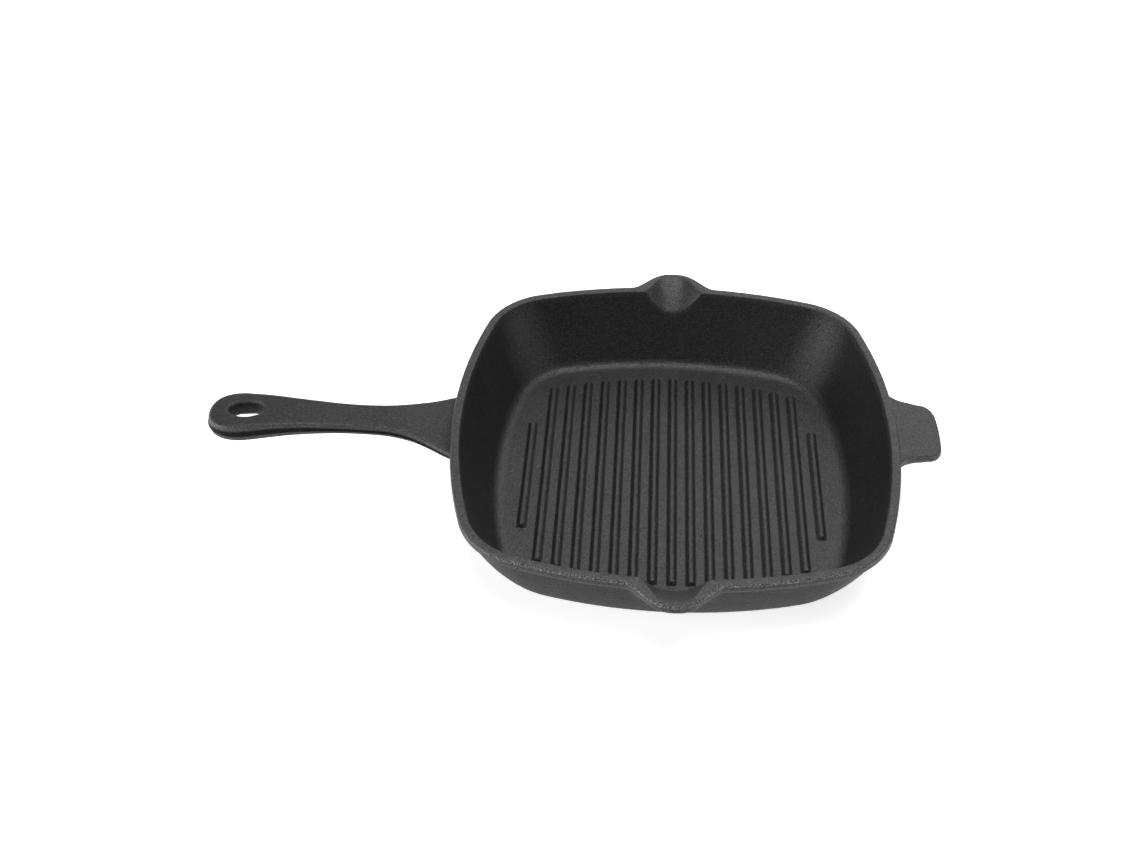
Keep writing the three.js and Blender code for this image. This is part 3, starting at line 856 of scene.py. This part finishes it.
class Nodes:
    """A short way to write a material's nodes."""

    def __init__(self, name):
        self.material = bpy.data.materials.new(name)
        self.material.use_nodes = True
        self.tree = self.material.node_tree
        self.shader = self.tree.nodes["Principled BSDF"]

    def node(self, kind, values=None, **settings):
        made = self.tree.nodes.new(kind)
        for key, value in settings.items():
            setattr(made, key, value)
        for key, value in (values or {}).items():
            self.put(made.inputs[key], value)
        return made

    def put(self, socket, value):
        if isinstance(value, bpy.types.NodeSocket):
            self.tree.links.new(value, socket)
        else:
            socket.default_value = value

    def noise(self, place, scale, detail=2.0, roughness=0.5):
        made = self.node("ShaderNodeTexNoise", {"Vector": place, "Scale": scale, "Detail": detail,
                                               "Roughness": roughness})
        return made.outputs["Fac"]

    def spread(self, value, low, high, to_low, to_high):
        made = self.node("ShaderNodeMapRange", {"Value": value, "From Min": low, "From Max": high,
                                               "To Min": to_low, "To Max": to_high})
        return made.outputs["Result"]

    def math(self, operation, a, b=0.0, c=0.0):
        made = self.node("ShaderNodeMath", operation=operation)
        for k, value in enumerate((a, b, c)):
            self.put(made.inputs[k], value)
        return made.outputs[0]

    def blend(self, factor, a, b):
        made = self.node("ShaderNodeMix", data_type="RGBA")
        for key, value in ((0, factor), (6, a), (7, b)):
            self.put(made.inputs[key], value)
        return made.outputs[2]


def make_iron():
    """Seasoned cast iron: near black, finely pitted, with bright grains on its ground edges that are
    partly a painted highlight, and painted darker as shade where the finish is below zero.
    """
    n = Nodes("cast_iron")
    place = n.node("ShaderNodeTexCoord").outputs["Object"]
    finish_and_painted_light = n.node("ShaderNodeAttribute", attribute_name="wear").outputs["Fac"]
    wear = n.spread(finish_and_painted_light, 0.0, 1.0, 0.0, 1.0)  # below zero the finish is painted shade, darkened further down

    cloud = n.noise(place, 28.0, 3.0)
    grain = n.noise(place, 1150.0, 2.0, 0.65)
    skin = n.noise(place, 700.0, 3.0, 0.6)
    pits = n.noise(place, 300.0, 1.0)

    base = n.blend(n.spread(cloud, 0.3, 0.7, 0, 1), IRON_DARK, IRON_LIGHT)
    base = n.blend(n.spread(grain, 0.46, 0.74, 0, 1), base, IRON_GRAIN)
    grains = n.spread(n.noise(place, 1300.0, 1.0), 0.5, 0.62, 0, 1)
    # bright grains: ground metal, partly a painted highlight
    ground_and_painted_glint = n.math("MULTIPLY", wear, grains)
    base = n.blend(ground_and_painted_glint, base, BRIGHT_METAL)
    # painted shade: below zero the colour is darkened towards near black and the IOR lowered
    painted_shade = n.spread(finish_and_painted_light, -1.0, 0.0, 0.85, 0.0)
    n.put(n.shader.inputs["Base Color"], n.blend(painted_shade, base, PAINTED_SHADE_BLACK))

    rough = n.spread(skin, 0.3, 0.7, 0.43, 0.53)
    n.put(n.shader.inputs["Roughness"], n.math("MULTIPLY_ADD", ground_and_painted_glint, -0.06, rough))
    n.put(n.shader.inputs["IOR"], n.spread(finish_and_painted_light, -1.0, 0.0, 1.16, 1.52))
    n.put(n.shader.inputs["Specular IOR Level"], n.spread(grain, 0.3, 0.7, 0.36, 0.68))

    depth = n.math("MULTIPLY_ADD", skin, 0.9, n.math("MULTIPLY", grain, 0.4))
    depth = n.math("MULTIPLY_ADD", n.spread(pits, 0.22, 0.34, 0, 1), 0.5, depth)
    depth = n.math("MULTIPLY", depth, n.math("MULTIPLY_ADD", wear, 1.2, 1.0))
    bump = n.node("ShaderNodeBump", {"Strength": 1.0, "Distance": 0.0004, "Height": depth})
    n.put(n.shader.inputs["Normal"], bump.outputs["Normal"])
    return n.material


def make_paper():
    """White paper, lit from below like a light table, but not where the pan stands on it."""
    n = Nodes("studio_floor")
    place = n.node("ShaderNodeTexCoord").outputs["Object"]
    tone = n.blend(n.noise(place, 3.0), *PAPER_TONES)
    n.put(n.shader.inputs["Base Color"], tone)
    n.put(n.shader.inputs["Roughness"], 0.9)
    n.put(n.shader.inputs["Emission Color"], WHITE)
    split = n.node("ShaderNodeSeparateXYZ", {"Vector": place})
    x = n.math("POWER", n.math("DIVIDE", split.outputs["X"], UNLIT_HALF), 4.0)
    y = n.math("POWER", n.math("DIVIDE", split.outputs["Y"], UNLIT_HALF), 4.0)
    n.put(n.shader.inputs["Emission Strength"], n.spread(n.math("ADD", x, y), 0.7, 1.3, 0.0, GLOW))
    return n.material


iron = make_iron()
paper = make_paper()

# ---------------------------------------------------------------- the casting

ring_piece("wall_right", RIGHT - SIDE_ANGLE, RIGHT + SIDE_ANGLE)
ring_piece("wall_left", LEFT - SIDE_ANGLE, LEFT + SIDE_ANGLE)
ring_piece("wall_rear_right", REAR - SIDE_ANGLE, REAR - SPOUT_ANGLE)
ring_piece("wall_rear_left", REAR + SPOUT_ANGLE, REAR + SIDE_ANGLE)
ring_piece("wall_front_left", FRONT - SIDE_ANGLE, FRONT - SPOUT_ANGLE)
ring_piece("wall_front_right", FRONT + SPOUT_ANGLE, FRONT + SIDE_ANGLE)
ring_piece("corner_rear_right", RIGHT + SIDE_ANGLE, REAR - SIDE_ANGLE)
ring_piece("corner_rear_left", REAR + SIDE_ANGLE, LEFT - SIDE_ANGLE)
ring_piece("corner_front_left", LEFT + SIDE_ANGLE, FRONT - SIDE_ANGLE)
ring_piece("corner_front_right", FRONT + SIDE_ANGLE, FRONT + QUARTER - SIDE_ANGLE)
ring_piece("spout_rear", REAR - SPOUT_ANGLE, REAR + SPOUT_ANGLE, REAR)
ring_piece("spout_front", FRONT - SPOUT_ANGLE, FRONT + SPOUT_ANGLE, FRONT)
floor_piece()

for i in range(RIB_COUNT):
    x = (i - (RIB_COUNT - 1) / 2) * RIB_PITCH
    short = i in (0, RIB_COUNT - 1)
    half = SHORT_RIB_HALF if short else long_rib_half(x)
    rib_piece(f"grill_rib_{i + 1:02d}", x, SHORT_RIB_SHIFT if short else 0.0, half)

main_handle()
helper_handle()

# ---------------------------------------------------------------- studio


SHEET_HALF_WIDTH = 4.0
SHEET_PROFILE = ((-3.0, 0.0), (1.6, 0.0), (2.2, 0.06), (2.7, 0.3), (3.1, 0.75), (3.3, 1.4), (3.4, 2.4))
SHEET_CLEARANCE = 0.0001  # the sheet lies this far under the pan
CAMERA_AZIMUTH, CAMERA_ELEVATION, CAMERA_ROLL = -3.045, 42.12, -0.055  # degrees
CAMERA_AIM = (-0.06228, 0.02343, 0.020)
CAMERA_DISTANCE = 0.855
CAMERA_LENS, CAMERA_SENSOR = 43.88, 36.0  # millimetres


def studio_floor():
    """A wide sheet that curves up gently far behind the pan."""
    across = np.linspace(-SHEET_HALF_WIDTH, SHEET_HALF_WIDTH, 9)
    grid = np.array([[(x, y, z - SHEET_CLEARANCE) for x in across] for y, z in SHEET_PROFILE])
    ids = np.arange(grid.shape[0] * grid.shape[1]).reshape(grid.shape[:2])
    faces = np.stack([ids[:-1, :-1], ids[:-1, 1:], ids[1:, 1:], ids[1:, :-1]], -1).reshape(-1, 4)
    mesh = bpy.data.meshes.new("floor_sheet")
    mesh.from_pydata(grid.reshape(-1, 3).tolist(), [], faces.tolist())
    mesh.materials.append(paper)
    mesh.polygons.foreach_set("use_smooth", np.ones(len(mesh.polygons), bool))
    sheet = bpy.data.objects.new("floor_sheet", mesh)
    bpy.context.scene.collection.objects.link(sheet)


def area_light(name, place, aim, width, depth, power):
    """A soft panel of light in metres and watts."""
    data = bpy.data.lights.new(name, "AREA")
    data.shape = "RECTANGLE"
    data.size, data.size_y = width, depth
    data.energy = power
    light = bpy.data.objects.new(name, data)
    light.location = place
    light.rotation_euler = (Vector(aim) - Vector(place)).to_track_quat("-Z", "Y").to_euler()
    bpy.context.scene.collection.objects.link(light)


def camera():
    """The camera looks down at the pan from the front, a little to its left."""
    angles = CAMERA_AZIMUTH, CAMERA_ELEVATION, CAMERA_ROLL
    azimuth, elevation, roll = (math.radians(angle) for angle in angles)
    forward = Vector((math.sin(azimuth) * math.cos(elevation),
                      math.cos(azimuth) * math.cos(elevation), -math.sin(elevation)))
    right = Vector((math.cos(azimuth), -math.sin(azimuth), 0.0))
    up = right.cross(forward)
    right, up = (right * math.cos(roll) + up * math.sin(roll),
                 up * math.cos(roll) - right * math.sin(roll))
    data = bpy.data.cameras.new("camera")
    data.sensor_width = CAMERA_SENSOR
    data.lens = CAMERA_LENS
    data.clip_start = 0.01
    made = bpy.data.objects.new("camera", data)
    made.matrix_world = Matrix.Translation(Vector(CAMERA_AIM) - forward * CAMERA_DISTANCE) @ Matrix(
        (right, up, -forward)).transposed().to_4x4()
    bpy.context.scene.collection.objects.link(made)
    bpy.context.scene.camera = made


def studio_walls():
    """The room round the floor: pale low down, dim overhead."""
    world = bpy.data.worlds.new("studio")
    world.use_nodes = True
    tree = world.node_tree
    place = tree.nodes.new("ShaderNodeTexCoord").outputs["Generated"]
    split = tree.nodes.new("ShaderNodeSeparateXYZ")
    tree.links.new(place, split.inputs[0])
    fade = tree.nodes.new("ShaderNodeMapRange")
    for name, value in (("From Min", 0.18), ("From Max", 0.32), ("To Min", 0.75), ("To Max", 0.04)):
        fade.inputs[name].default_value = value
    tree.links.new(split.outputs["Z"], fade.inputs["Value"])
    background = tree.nodes["Background"]
    background.inputs["Color"].default_value = WHITE
    tree.links.new(fade.outputs["Result"], background.inputs["Strength"])
    bpy.context.scene.world = world


PAN_MIDDLE = (0.0, 0.0, 0.03)
studio_floor()
area_light("rear_panel", (0.35, 1.15, 1.1), PAN_MIDDLE, 1.2, 0.7, 4.7)
area_light("overhead_softbox", (0.1, 0.0, 1.35), (0.0, 0.0, 0.0), 1.0, 0.9, 16.0)
area_light("left_panel", (-1.3, -0.45, 0.3), PAN_MIDDLE, 0.6, 0.5, 12.5)
area_light("right_panel", (1.3, -0.35, 0.3), PAN_MIDDLE, 0.6, 0.5, 3.6)
camera()
studio_walls()
bpy.context.scene.view_settings.view_transform = "Standard"
bpy.context.scene.view_settings.look = "None"
